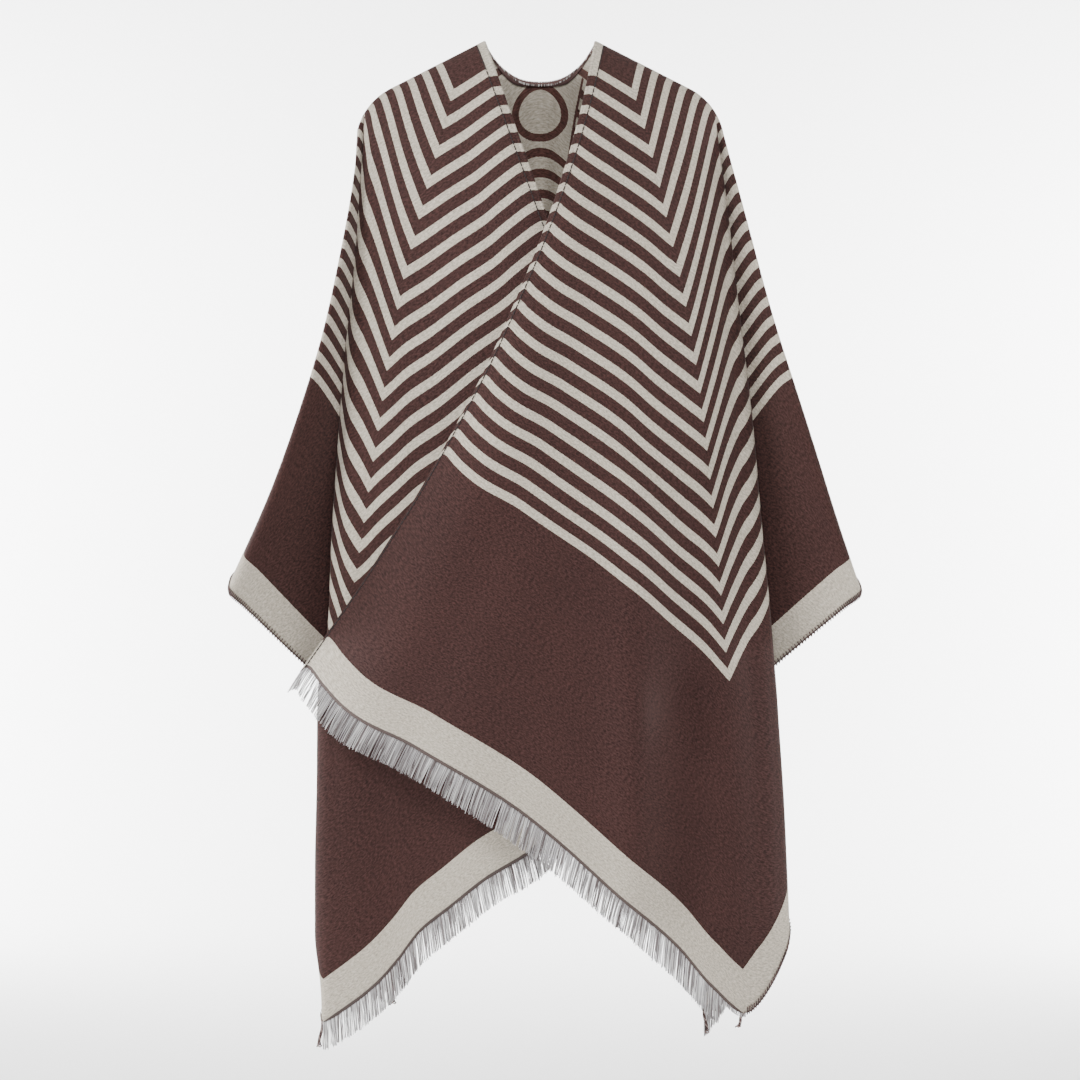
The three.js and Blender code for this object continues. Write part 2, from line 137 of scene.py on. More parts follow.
# The left front: the half of the cloth that wraps over the other one. It is woven wool,
# dark brown with nested beige stripes and borders, and reversed on its inner face.
# SLIT_HALF_WIDTH and SCOOP_DEPTH cut the flat cloth at the neck, and NECK_HALF_WIDTH,
# NECK_DEPTH and NECK_DROP are the neckline as worn, down the back to its middle.
HALF_WIDTH = 650
HALF_LENGTH = 775
CORNER = 22
CLOTH = 1.8
SLIT_HEM = 9.5
SLIT_HALF_WIDTH = 27
SCOOP_DEPTH = 85
NECK_HALF_WIDTH = 60
NECK_DEPTH = 76
NECK_DROP = 33
NECK_SPAN = 115
NECK_END = 245
SHOULDER_LENGTH = 170
SHOULDER_STRAIGHT = 112
SHOULDER_SLOPE = math.radians(27)
SLEEVE_SLOPE = math.radians(76)
SHOULDER_EASE = 0.016
NECK_EASE_SHARE = 0.01

# Each row is a ray of the cloth on a crest, valley or edge of its folds.
# edge: where the ray ends along the flat edge, from the foot of the slit round the corner
# to the cuff; start: where it starts along the shoulder line, or along the neckline when
# negative; x, y, z: its end as worn; bow: sideways bulge at its middle; slide: how much
# its middle hangs low; press: how soon it reaches its depth; flute and curl: depth that
# it gains evenly, or mostly near its end.
COLUMNS = ["edge", "start", "x", "y", "z", "bow", "slide", "press", "flute", "curl"]
LEFT_FRONT = [
    (0, 0, -250, -166, -670, 50, 0.2, 3.4, 0, 90),
    (20, 4, -241, -170, -667, 49, 0.2, 3.4, 0, 88),
    (38, 8, -226, -176, -684, 48, 0.2, 3.4, 0, 76),
    (62, 13, -208, -180, -702, 48, 0.2, 3.4, 0, 62),
    (165, 38, -127, -168, -746, 39, 0.19, 3.4, 0, 18),
    (300, 72, -20, -158, -811, 32, 0.195, 3.4, 0, 0),
    (368, 88, 24, -156, -847, 30, 0.205, 3.2, 0, 0),
    (440, 104, 73, -150, -892, 30, 0.2, 3, 0, 0),
    (540, 124, 142, -142, -952, 22, 0.175, 2.6, 0, 0),
    (600, 134, 177, -136, -993, 18, 0.17, 2.3, 0, 0),
    (650, 141, 211, -126, -1019, 14, 0.19, 2.1, 0, 0),
    (704, 145, 245, -112, -979, 11, 0.21, 2, 0, 0),
    (750, 147, 258, -95, -936, 9, 0.22, 1.9, 0, 0),
    (778, 148, 250, -78, -908, 7, 0.22, 1.8, 0, 0),
    (940, 151, 160, -60, -772, 0, 0.2, 1.6, 0, 0),
    (970, 152, 147, -50, -752, 0, 0.2, 1.5, 0, 0),
    (1000, 153, 162, -44, -738, 0, 0.2, 1.5, 0, 0),
    (1100, 157, 247, -58, -664, -4, 0.15, 2, 0, 0),
    (1190, 162, 316, -104, -602, -8, 0.1, 2.1, 0, 0),
    (1225, 164, 330, -112, -590, -8, 0.1, 2.1, 0, 0),
    (1260, 165, 331, -92, -580, -8, 0.1, 2.1, 0, 0),
    (1325, 167, 322, -52, -564, -8, 0.1, 2.1, 0, 0),
    (1425, 170, 327, 0, -556, -8, 0.1, 2.1, 0, 0),
]


def drape(rows, side, depth):
    """A stretch of cloth from its fold rows. The slope of a column at a row is that of the
    parabola through it and its neighbours. Where the cloth runs on past the shoulder line
    or the middle of the back, the columns are level there, apart from those that cross."""
    table = np.array(rows, float)
    step = np.diff(table[:, 0])[:, None]
    rise = np.diff(table, axis=0) / step
    slope = np.empty_like(table)
    slope[0], slope[-1] = rise[0], rise[-1]
    slope[1:-1] = (rise[:-1] * step[1:] + rise[1:] * step[:-1]) / (step[:-1] + step[1:])
    slope[-1] *= [name == "y" for name in COLUMNS]
    if depth > 0:
        slope[0] *= [name in ("x", "start") for name in COLUMNS]
    return {"table": table, "slope": slope, "side": side, "depth": depth}


def folds_at(cloth, edge):
    """Every column at `edge`, on the cubic between the rows beside it that keeps their slopes."""
    table, slope = cloth["table"], cloth["slope"]
    keys = table[:, 0]
    i = np.clip(np.searchsorted(keys, edge, side="right") - 1, 0, len(keys) - 2)
    step = (keys[i + 1] - keys[i])[..., None]
    t = np.asarray(edge - keys[i])[..., None] / step
    curve = (2 * t**3 - 3 * t**2 + 1) * table[i] + (t**3 - 2 * t**2 + t) * step * slope[i]
    curve += (3 * t**2 - 2 * t**3) * table[i + 1] + (t**3 - t**2) * step * slope[i + 1]
    return dict(zip(COLUMNS, np.moveaxis(curve, -1, 0)))


def ray_start(start):
    """Where rays begin, worn and flat. A negative start lies on the neckline, a parabola
    that drops to the back. The shoulder line is straight and then bends down an arc. Round
    the back of the neck the ease shrinks, because the cloth hangs straight from there."""
    a = 1 + np.minimum(start, 0) / NECK_SPAN
    radius = (SHOULDER_LENGTH - SHOULDER_STRAIGHT) / (SLEEVE_SLOPE - SHOULDER_SLOPE)
    straight = np.clip(start, 0, SHOULDER_STRAIGHT)
    slope = SHOULDER_SLOPE + (np.maximum(start, 0) - straight) / radius
    x = NECK_HALF_WIDTH * a + straight * math.cos(SHOULDER_SLOPE)
    x = x + radius * (np.sin(slope) - math.sin(SHOULDER_SLOPE))
    y = NECK_DEPTH * (1 - a**2)
    z = -NECK_DROP * (1 - a**3) - straight * math.sin(SHOULDER_SLOPE)
    z = z - radius * (math.cos(SHOULDER_SLOPE) - np.cos(slope))
    ease = SHOULDER_EASE * np.maximum(a**4, NECK_EASE_SHARE)
    flat_x = SLIT_HALF_WIDTH * a + np.maximum(start, 0)
    return x, y, z, flat_x, SCOOP_DEPTH * (1 - a**2), ease


def cloth_at(cloth, edge, along):
    """The middle of the cloth at `along` (0 at the shoulder, 1 at the edge) on the ray that
    ends at `edge`, worn and flat. A ray turns off the shoulder, falls evenly with a
    sideways bow, and reaches its depth early; on the flat cloth it is straight. The flat
    edge turns its corner over CORNER before and after it, as the worn one does."""
    fold = folds_at(cloth, edge)
    start = fold["start"] if cloth["depth"] > 0 else np.maximum(fold["start"], 0)
    x, y, z, flat_x, flat_y, ease = ray_start(start)
    hung = along + fold["slide"] * along * (1 - along)
    fall = (hung - ease * (1 - np.exp(-hung / ease))) / (1 - ease)
    reach = 1 - (1 - along) ** fold["press"]
    worn = np.stack([
        cloth["side"] * (x + (fold["x"] - x) * fall + fold["bow"] * 4 * fall * (1 - fall)),
        y + (fold["y"] - y) * reach + fold["flute"] * along**1.2 + fold["curl"] * along**3,
        z + (fold["z"] - z) * fall,
    ], -1)
    past = edge - HALF_WIDTH
    past = np.clip(past + CORNER, 0, 2 * CORNER) ** 2 / (4 * CORNER) + np.maximum(past - CORNER, 0)
    end_x = edge - past
    end_y = cloth["depth"] * (HALF_LENGTH - past)
    flat = np.stack([
        cloth["side"] * (flat_x + (end_x - flat_x) * along),
        flat_y + (end_y - flat_y) * along,
    ], -1)
    return worn, flat


# Soft creases, given on the flat cloth: from, to, width and height of each
# ridge, or depth where it is negative. X is positive on the wearer's left, and Y is
# negative on the fronts.
CREASES = [
    # from x, from y, to x, to y, width, height
    (234, -400, 345, -592, 32, 10.0),
    (345, -592, 452, -750, 30, 12.5),
    (316, -400, 400, -541, 34, -5.0),
    (400, -541, 522, -722, 34, -7.0),
    (458, -488, 570, -668, 38, 5.0),
    (150, -560, 200, -740, 44, 4.0),
    (150, -90, 330, -330, 26, -1.0),
    (100, -160, 210, -470, 30, 1.0),
    (420, -130, 600, -200, 26, 1.6),
    (-450, -470, -575, -690, 46, 8.0),
    (-380, -560, -480, -740, 46, -5.0),
    (-220, -520, -250, -730, 30, -2.0),
    (-120, -100, -250, -350, 26, -1.0),
    (-420, -140, -600, -210, 26, 1.6),
    (-90, -200, -150, -500, 30, 1.0),
    (0, 120, 0, 330, 16, 4.0),
    (120, 300, 160, 640, 28, 2.4),
    (-180, 280, -220, 600, 28, -2.2),
    (340, 420, 420, 690, 30, 2.6),
    (-360, 440, -440, 700, 30, 2.4),
    (430, 130, 600, 190, 26, 1.6),
    (-430, 130, -600, 180, 26, -1.6),
]


def crease_height(flat):
    """How far the cloth stands out at flat points: bell-shaped ridges round the creases'
    lines, and a slow unevenness from three crossed waves."""
    x, y = flat[..., 0], flat[..., 1]
    height = 0.35 * np.sin(x / 31 + y / 57)
    height = height + 0.3 * np.sin(x / 47 - y / 38 + 1)
    height = height + 0.25 * np.sin(y / 23 + x / 90 + 2)
    for x0, y0, x1, y1, width, depth in CREASES:
        along = ((x - x0) * (x1 - x0) + (y - y0) * (y1 - y0)) / ((x1 - x0) ** 2 + (y1 - y0) ** 2)
        along = np.clip(along, 0, 1)
        distance = np.hypot(x - x0 - along * (x1 - x0), y - y0 - along * (y1 - y0))
        height = height + depth * np.exp(-((distance / width) ** 2))
    return height


def on_cloth(cloth, edge, along, lift=0.0):
    """Points `lift` outside the middle of the creased cloth, with their flat places and
    the outward normals: the cross product of the slopes down and across the rays. On the
    shoulder line the normal has no part along Y, and towards it the creases fade out."""
    edge, along, lift = np.broadcast_arrays(np.asarray(edge, float), np.asarray(along, float), lift)
    last = HALF_WIDTH + HALF_LENGTH
    beside, below = 0.5, 0.002
    worn, flat = cloth_at(cloth, edge, along)
    near = np.maximum(along, below)
    across = cloth_at(cloth, np.minimum(edge + beside, last), near)[0]
    across = across - cloth_at(cloth, np.maximum(edge - beside, 0), near)[0]
    down = cloth_at(cloth, edge, np.minimum(along + below, 1))[0]
    down = down - cloth_at(cloth, edge, np.maximum(along - below, 0))[0]
    normal = np.cross(down, across) * (-cloth["side"] * cloth["depth"])
    on_shoulder = ((along <= 0) & (folds_at(cloth, edge)["start"] >= 0)) | (edge >= last)
    normal[..., 1] = np.where(on_shoulder, 0, normal[..., 1])
    normal /= np.linalg.norm(normal, axis=-1, keepdims=True)
    ease = np.clip(along * 9, 0, 1) * np.clip((last - edge) / 60, 0, 1)
    height = crease_height(flat) * ease * ease * (3 - 2 * ease)
    return worn + normal * (height + lift)[..., None], flat, normal


def node_maker(material):
    """Short calls that add a node to a material: a math step, and any other node."""
    tree = material.node_tree

    def calc(operation, *values, clamp=False):
        node = tree.nodes.new("ShaderNodeMath")
        node.operation = operation
        node.use_clamp = clamp
        for socket, value in zip(node.inputs, values):
            if isinstance(value, (int, float)):
                socket.default_value = value
            else:
                tree.links.new(value, socket)
        return node.outputs[0]

    def add(kind, settings=None, **inputs):
        node = tree.nodes.new(kind)
        for key, value in (settings or {}).items():
            setattr(node, key, value)
        for key, value in inputs.items():
            socket = node.inputs[key.replace("_", " ")]
            if isinstance(value, bpy.types.NodeSocket):
                tree.links.new(value, socket)
            else:
                socket.default_value = value
        return node

    return tree, calc, add


def mix_colours(tree, add, factor, first, second):
    """A colour between two others."""
    node = add("ShaderNodeMix", {"data_type": "RGBA"})
    for index, value in ((0, factor), (6, first), (7, second)):
        if isinstance(value, bpy.types.NodeSocket):
            tree.links.new(value, node.inputs[index])
        else:
            node.inputs[index].default_value = value
    return node.outputs[2]


# Where the weave is pulled a little upwards, or down where negative, as worn: the place on
# the flat cloth and the distance, in metres.
STRIPE_PULLS = [(0.02, -0.07, 0.005), (0.02, -0.18, 0.003), (0.10, -0.46, 0.002), (0.18, -0.46, -0.004)]

# The pattern on the flat cloth, in metres: u is the distance from the middle and v that
# from the shoulder line. The frames start at (FRAME_U, FRAME_V) and repeat every
# FRAME_STEP_U and FRAME_STEP_V. The borders start at BORDER_U and BORDER_V.
FRAME_U = 0.086
FRAME_V = 0.052
FRAME_STEP_U = 0.0175
FRAME_STEP_V = 0.0217
FRAME_COUNT = 20.0
LEVEL_SHARE = 0.4286
UPRIGHT_SHARE = 0.4571
BORDER_U = 0.614
BORDER_V = 0.729
HEM_FOOT = 0.771
STRIP_WIDTH = 0.0085
STRIP_END = 0.050
SHOULDER_LINE_WIDTH = 0.0025
BOX_HALF_WIDTH = 0.026
BOX_END = 0.1485
BOX_OUTLINE = 0.0240
RING_MIDDLE = 0.114
RING_RADIUS = 0.0268
RING_HALF_WIDTH = 0.0041
RING_NARROWING = 1.62
RING_NARROWING_RISE = 13.0
WEAVE_PITCH = 0.0013

# How far the weave strays from the pattern: the fray of each stripe's edges in metres, the
# pull of the slit hem in metres for each metre, and how fast a pull of STRIPE_PULLS fades.
STRIPE_FRAY = 0.0011
HEM_PULL = 0.35
PULL_FADE = -180.0

# Yarn colours, from the darkest to the lightest fleck, and that of the hems' foot. The inner
# face's brown is the same yarn, but painted about twice as light: painted light for the inside, which lies
# in shade.
OUTER_BROWN = [(0.0100, 0.0041, 0.0036, 1), (0.043, 0.0178, 0.0156, 1)]
INNER_BROWN_WITH_PAINTED_LIGHT = [(0.023, 0.0105, 0.009, 1), (0.085, 0.037, 0.031, 1)]
BEIGE = [(0.205, 0.181, 0.146, 1), (0.39, 0.352, 0.293, 1)]
FOOT_COLOUR = (0.06, 0.045, 0.042, 1)
FLECK_SHARE = 0.92
CLOUD_SHARE = 0.08
TONE_START = 0.385
TONE_GAIN = 4.4


def woven_wool(name, face):
    """Reversible woven wool. `face` is 1 on the outer face, where the stripes are beige on
    brown, and 0 on the inner face, where the colours change places.
    The stripes are nested frames round the neck. Counted in frames, a place lies at
    m = max((u - FRAME_U) / FRAME_STEP_U, (v - FRAME_V) / FRAME_STEP_V), and the cloth is
    beige where m is less than a stripe's share short of a whole number."""
    material = bpy.data.materials.new(name)
    material.use_nodes = True
    tree, calc, add = node_maker(material)
    shader = tree.nodes["Principled BSDF"]
    place = add("ShaderNodeUVMap", {"uv_map": "flat"}).outputs["UV"]
    parts = add("ShaderNodeSeparateXYZ", Vector=place)
    fray = add("ShaderNodeTexNoise", Vector=place, Scale=900.0, Detail=1.0)
    wander = calc("MULTIPLY", calc("SUBTRACT", fray.outputs["Fac"], 0.5), STRIPE_FRAY)
    u = calc("ADD", calc("ABSOLUTE", parts.outputs["X"]), wander)
    v = calc("ADD", calc("ABSOLUTE", parts.outputs["Y"]), wander)
    front = calc("LESS_THAN", parts.outputs["Y"], 0.0)

    # Beside the slit the turned hem pulls the stripes nearly level
    slit = calc("SUBTRACT", 1.0, calc("DIVIDE", v, HALF_LENGTH * MM))
    beside = calc("SUBTRACT", u, calc("MULTIPLY", slit, SLIT_HALF_WIDTH * MM))
    turned = calc("MAXIMUM", calc("SUBTRACT", SLIT_HEM * MM, beside), 0.0)
    v_hem = calc("SUBTRACT", v, calc("MULTIPLY", calc("MULTIPLY", turned, HEM_PULL), front))
    for pull_x, pull_y, pull in STRIPE_PULLS:
        off_x = calc("POWER", calc("SUBTRACT", parts.outputs["X"], pull_x), 2.0)
        off_y = calc("POWER", calc("SUBTRACT", parts.outputs["Y"], pull_y), 2.0)
        fade = calc("POWER", 2.718, calc("MULTIPLY", calc("ADD", off_x, off_y), PULL_FADE))
        v_hem = calc("ADD", v_hem, calc("MULTIPLY", fade, pull))

    frame_u = calc("DIVIDE", calc("SUBTRACT", u, FRAME_U), FRAME_STEP_U)
    frame_v = calc("DIVIDE", calc("SUBTRACT", v_hem, FRAME_V), FRAME_STEP_V)
    frames = calc("MAXIMUM", frame_u, frame_v)
    short = calc("SUBTRACT", calc("CEIL", frames), frames)
    upright = calc("GREATER_THAN", frame_u, frame_v)
    share = calc("ADD", LEVEL_SHARE, calc("MULTIPLY", upright, UPRIGHT_SHARE - LEVEL_SHARE))
    stripe = calc("MULTIPLY", calc("LESS_THAN", short, share), calc("GREATER_THAN", frames, -1.0))
    stripe = calc("MULTIPLY", stripe, calc("LESS_THAN", frames, FRAME_COUNT))

    # The light strip beside the top of the slit and the thin one on the shoulder line
    above = calc("LESS_THAN", v_hem, STRIP_END)
    strip = calc("MULTIPLY", calc("MULTIPLY", calc("LESS_THAN", beside, STRIP_WIDTH), above), front)
    thin = calc("MULTIPLY", calc("LESS_THAN", v, SHOULDER_LINE_WIDTH), calc("LESS_THAN", u, FRAME_U))
    beige = calc("MAXIMUM", stripe, calc("MAXIMUM", strip, thin))

    # The plain box at the back of the neck, with a thin outline and a narrow ring in it
    behind = calc("SUBTRACT", 1.0, front)
    box_rows = calc("MULTIPLY", calc("GREATER_THAN", v, FRAME_V), calc("LESS_THAN", v, BOX_END))
    in_box = calc("MULTIPLY", calc("MULTIPLY", calc("LESS_THAN", u, BOX_HALF_WIDTH), box_rows), behind)
    outline = calc("MULTIPLY", in_box, calc("GREATER_THAN", u, BOX_OUTLINE))
    below_middle = calc("SUBTRACT", v, RING_MIDDLE)
    narrowing = calc("ADD", RING_NARROWING, calc("MULTIPLY", below_middle, RING_NARROWING_RISE))
    across = calc("POWER", calc("MULTIPLY", u, narrowing), 2.0)
    from_middle = calc("SQRT", calc("ADD", across, calc("POWER", below_middle, 2.0)))
    off_ring = calc("ABSOLUTE", calc("SUBTRACT", from_middle, RING_RADIUS))
    ring = calc("LESS_THAN", off_ring, RING_HALF_WIDTH)
    boxed = calc("MAXIMUM", outline, calc("MULTIPLY", ring, in_box))
    beige = calc("MAXIMUM", calc("MULTIPLY", beige, calc("SUBTRACT", 1.0, in_box)), boxed)

    # The borders, and the dark line along the foot of the hems
    border = calc("MAXIMUM", calc("GREATER_THAN", u, BORDER_U), calc("GREATER_THAN", v, BORDER_V))
    beige = calc("MAXIMUM", beige, border)
    if face == 0:
        beige = calc("SUBTRACT", 1.0, beige)
    foot = calc("GREATER_THAN", v, HEM_FOOT)

    # Heathered yarn: fine flecks, longer across the cloth, over slow changes of shade
    stretched = add("ShaderNodeMapping", Vector=place, Scale=(0.45, 1.0, 1.0)).outputs["Vector"]
    fleck = add("ShaderNodeTexNoise", Vector=stretched, Scale=620.0, Detail=3.0, Roughness=0.8)
    fleck = fleck.outputs["Fac"]
    cloud = add("ShaderNodeTexNoise", Vector=place, Scale=9.0, Detail=3.0).outputs["Fac"]
    tone = calc("ADD", calc("MULTIPLY", fleck, FLECK_SHARE), calc("MULTIPLY", cloud, CLOUD_SHARE))
    tone = calc("MULTIPLY", calc("SUBTRACT", tone, TONE_START), TONE_GAIN, clamp=True)
    # On the inner face the brown is painted lighter, as painted light where that face lies in shade.
    brown = mix_colours(tree, add, tone, *(OUTER_BROWN if face else INNER_BROWN_WITH_PAINTED_LIGHT))
    pale = mix_colours(tree, add, tone, *BEIGE)
    colour = mix_colours(tree, add, beige, brown, pale)
    colour = mix_colours(tree, add, foot, colour, FOOT_COLOUR)
    tree.links.new(colour, shader.inputs["Base Color"])

    # Plain weave: threads over and under each other, with a soft nap
    warp = calc("SINE", calc("MULTIPLY", parts.outputs["X"], 2 * math.pi / WEAVE_PITCH))
    weft = calc("SINE", calc("MULTIPLY", parts.outputs["Y"], 2 * math.pi / WEAVE_PITCH))
    weave = calc("ADD", calc("MULTIPLY", calc("MULTIPLY", warp, weft), 0.5), fleck)
    bump = add("ShaderNodeBump", Strength=0.35, Distance=0.0003, Height=weave)
    tree.links.new(bump.outputs["Normal"], shader.inputs["Normal"])
    shader.inputs["Roughness"].default_value = 0.88
    shader.inputs["Specular IOR Level"].default_value = 0.15
    shader.inputs["Sheen Weight"].default_value = 0.09
    shader.inputs["Sheen Roughness"].default_value = 0.45
    shader.inputs["Sheen Tint"].default_value = (0.8, 0.68, 0.62, 1)
    return material


def shell(name, points, normals, flat, materials):
    """Closed cloth of thickness CLOTH on a grid of middle points: an outer and an inner
    face, joined round the rim. The rim is shaded flat, so that stretches of the cloth meet
    without a dark line."""
    rows, columns = points.shape[:2]
    number = np.arange(rows * columns).reshape(rows, columns)
    outer = np.stack([number[:-1, :-1], number[1:, :-1], number[1:, 1:], number[:-1, 1:]], -1).reshape(-1, 4)
    inner = outer[:, ::-1] + rows * columns
    rim = np.concatenate([number[0, :], number[1:, -1], number[-1, -2::-1], number[-2:0:-1, 0]])
    turn = np.roll(rim, -1)
    edge = np.stack([rim, turn, turn + rows * columns, rim + rows * columns], -1)
    faces = np.concatenate([outer, inner, edge])
    slots = np.repeat([0, 1, 0], [len(outer), len(inner), len(edge)])
    both = np.concatenate([points + normals * CLOTH / 2, points - normals * CLOTH / 2]).reshape(-1, 3)
    corner = both[faces[:, :3]]
    facing = np.cross(corner[:, 1] - corner[:, 0], corner[:, 2] - corner[:, 0])
    if np.sum(facing[: len(outer)] * normals[:-1, :-1].reshape(-1, 3)) < 0:
        faces = faces[:, ::-1]
    uv = np.concatenate([flat.reshape(-1, 2)] * 2)
    thing = mesh_object(name, both, faces.tolist(), materials, slots, uv)
    rounded = np.repeat([True, True, False], [len(outer), len(inner), len(edge)])
    thing.data.polygons.foreach_set("use_smooth", rounded)
    return thing


outer_wool = woven_wool("outer_wool", 1)
inner_wool = woven_wool("inner_wool", 0)
DOWN_LINES = np.linspace(0, 1, 122) ** 1.3
left_front = drape(LEFT_FRONT, 1, -1)
edges = np.linspace(0, HALF_WIDTH + HALF_LENGTH, 310)
points, flat, normals = on_cloth(left_front, edges[:, None], DOWN_LINES[None, :])
left_front_cloth = shell("left_front_cloth", points, normals, flat, [outer_wool, inner_wool])
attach(left_front_cloth, "root")
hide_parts("left_front")


# The right front: the half of the cloth under the left one, of the same wool.
RIGHT_FRONT = [
    (0, 0, -180, -130, -684, 3, 0.12, 3.4, 0, 35),
    (60, 10, -150, -134, -700, 3, 0.12, 3.4, 0, 26),
    (130, 27, -105, -134, -730, 3, 0.14, 3.4, 0, 16),
    (200, 44, -62, -132, -765, -2, 0.14, 3.4, 0, 6),
    (280, 64, -28, -130, -805, 11, 0.16, 3.4, 0, 0),
    (360, 82, 8, -128, -853, 26, 0.185, 3.2, 0, 0),
    (420, 96, 57, -126, -884, 28, 0.2, 3, 0, 0),
    (467, 106, 92, -124, -912, 26, 0.21, 2.9, 0, 0),
    (511, 115, 125, -122, -939, 24, 0.215, 2.6, 0, 0),
    (547, 121, 146, -118, -967, 26, 0.215, 2.5, 0, 0),
    (583, 128, 169, -115, -993, 30, 0.215, 2.3, 0, 0),
    (612, 134, 192, -112, -1012, 25, 0.21, 2.1, 0, 0),
    (650, 144, 225, -104, -1031, 13, 0.205, 2, 0, 0),
    (680, 147, 217, -84, -1004, 8, 0.2, 1.9, 0, 0),
    (940, 151, 160, -60, -772, 0, 0.2, 1.6, 0, 0),
    (970, 152, 147, -50, -752, 0, 0.2, 1.5, 0, 0),
    (1000, 153, 162, -44, -738, 0, 0.2, 1.5, 0, 0),
    (1100, 157, 244, -58, -666, -16, 0.15, 2, 0, 0),
    (1190, 162, 306, -104, -602, -24, 0.1, 2.1, 0, 0),
    (1225, 164, 320, -112, -588, -26, 0.1, 2.1, 0, 0),
    (1260, 165, 322, -92, -578, -26, 0.1, 2.1, 0, 0),
    (1325, 167, 314, -52, -564, -26, 0.1, 2.1, 0, 0),
    (1425, 170, 319, 0, -556, -26, 0.1, 2.1, 0, 0),
]
right_front = drape(RIGHT_FRONT, -1, -1)
points, flat, normals = on_cloth(right_front, edges[:, None], DOWN_LINES[None, :])
right_front_cloth = shell("right_front_cloth", points, normals, flat, [outer_wool, inner_wool])
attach(right_front_cloth, "root")
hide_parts("right_front")


# The back: the whole other half of the cloth, over both shoulders and down in soft flutes
# from the neck, of the same wool.
LEFT_BACK = [
    (0, -115, 0, 128, -718, 0, 0.05, 3, 20, 0),
    (75, -80, 28, 118, -735, 0, 0.05, 3, -20, 0),
    (160, -40, 72, 130, -775, 0, 0.05, 3, 22, 0),
    (245, 0, 98, 118, -815, 0, 0.05, 3, -26, 0),
    (335, 35, 142, 122, -862, 0, 0.08, 3, 26, 0),
    (420, 62, 162, 120, -905, 0, 0.1, 2.8, -16, 0),
    (510, 90, 205, 120, -955, 0, 0.12, 2.6, 18, 0),
    (585, 112, 212, 108, -1004, 0, 0.15, 2.3, -8, 0),
    (650, 128, 180, 84, -1050, 0, 0.2, 2.1, 0, 0),
    (750, 142, 222, 104, -968, 0, 0.2, 1.9, 0, 0),
    (790, 146, 228, 92, -926, 0, 0.2, 1.8, 0, 0),
    (940, 150, 160, 68, -772, 0, 0.2, 1.6, 0, 0),
    (970, 151, 148, 56, -752, 0, 0.2, 1.5, 0, 0),
    (1000, 153, 164, 50, -738, 0, 0.2, 1.5, 0, 0),
    (1100, 157, 247, 62, -664, -4, 0.15, 2, 0, 0),
    (1190, 162, 316, 106, -602, -8, 0.1, 2.1, 0, 0),
    (1225, 164, 329, 114, -588, -8, 0.1, 2.1, 0, 0),
    (1260, 165, 330, 92, -580, -8, 0.1, 2.1, 0, 0),
    (1325, 167, 322, 52, -564, -8, 0.1, 2.1, 0, 0),
    (1425, 170, 327, 0, -556, -8, 0.1, 2.1, 0, 0),
]
RIGHT_BACK = [
    (0, -115, 0, 128, -718, 0, 0.05, 3, 20, 0),
    (75, -80, 30, 122, -738, 0, 0.05, 3, -16, 0),
    (160, -40, 66, 126, -770, 0, 0.05, 3, 24, 0),
    (245, 0, 104, 120, -820, 0, 0.05, 3, -24, 0),
    (335, 35, 136, 118, -858, 0, 0.08, 3, 28, 0),
    (420, 62, 168, 122, -908, 0, 0.1, 2.8, -14, 0),
    (510, 90, 204, 119, -952, 0, 0.12, 2.6, 6, 0),
    (585, 112, 208, 106, -985, 0, 0.15, 2.3, -6, 0),
    (650, 128, 164, 80, -1015, 0, 0.2, 2.1, 0, 0),
    (750, 142, 220, 102, -942, 0, 0.2, 1.9, 0, 0),
    (790, 146, 226, 90, -908, 0, 0.2, 1.8, 0, 0),
    (940, 150, 160, 68, -772, 0, 0.2, 1.6, 0, 0),
    (970, 151, 148, 56, -752, 0, 0.2, 1.5, 0, 0),
    (1000, 153, 164, 50, -738, 0, 0.2, 1.5, 0, 0),
    (1100, 157, 244, 62, -664, -16, 0.15, 2, 0, 0),
    (1190, 162, 306, 106, -602, -24, 0.1, 2.1, 0, 0),
    (1225, 164, 319, 114, -588, -26, 0.1, 2.1, 0, 0),
    (1260, 165, 321, 92, -580, -26, 0.1, 2.1, 0, 0),
    (1325, 167, 314, 52, -564, -26, 0.1, 2.1, 0, 0),
    (1425, 170, 319, 0, -556, -26, 0.1, 2.1, 0, 0),
]
left_back = drape(LEFT_BACK, 1, 1)
right_back = drape(RIGHT_BACK, -1, 1)
back_edges = np.linspace(0, HALF_WIDTH + HALF_LENGTH, 204)
left_half = on_cloth(left_back, back_edges[:, None], DOWN_LINES[None, :])
right_half = on_cloth(right_back, back_edges[:0:-1, None], DOWN_LINES[None, :])
points, flat, normals = (np.concatenate(pair) for pair in zip(right_half, left_half))
back_cloth = shell("back_cloth", points, normals, flat, [outer_wool, inner_wool])
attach(back_cloth, "root")
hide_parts("back")


# The slit hems: each slit edge is folded once to the inside, SLIT_HEM deep, and stitched.
# The fold gives the edge a round nose, and the turned part shows the outer face.
def edge_beside_slit(cloth, width, along):
    """The ray that passes `width` beside the slit at `along`, found by halving: on the flat
    cloth a ray's distance from the slit only grows with the place where it ends."""
    low, high = np.broadcast_arrays(np.zeros_like(width + along), float(HALF_WIDTH))
    low, high = low.copy(), high.copy()
    for _ in range(30):
        middle = (low + high) / 2
        start = SLIT_HALF_WIDTH + np.maximum(folds_at(cloth, middle)["start"], 0)
        near = start + (middle - start) * along - SLIT_HALF_WIDTH * (1 - along) < width
        low, high = np.where(near, middle, low), np.where(near, high, middle)
    return low


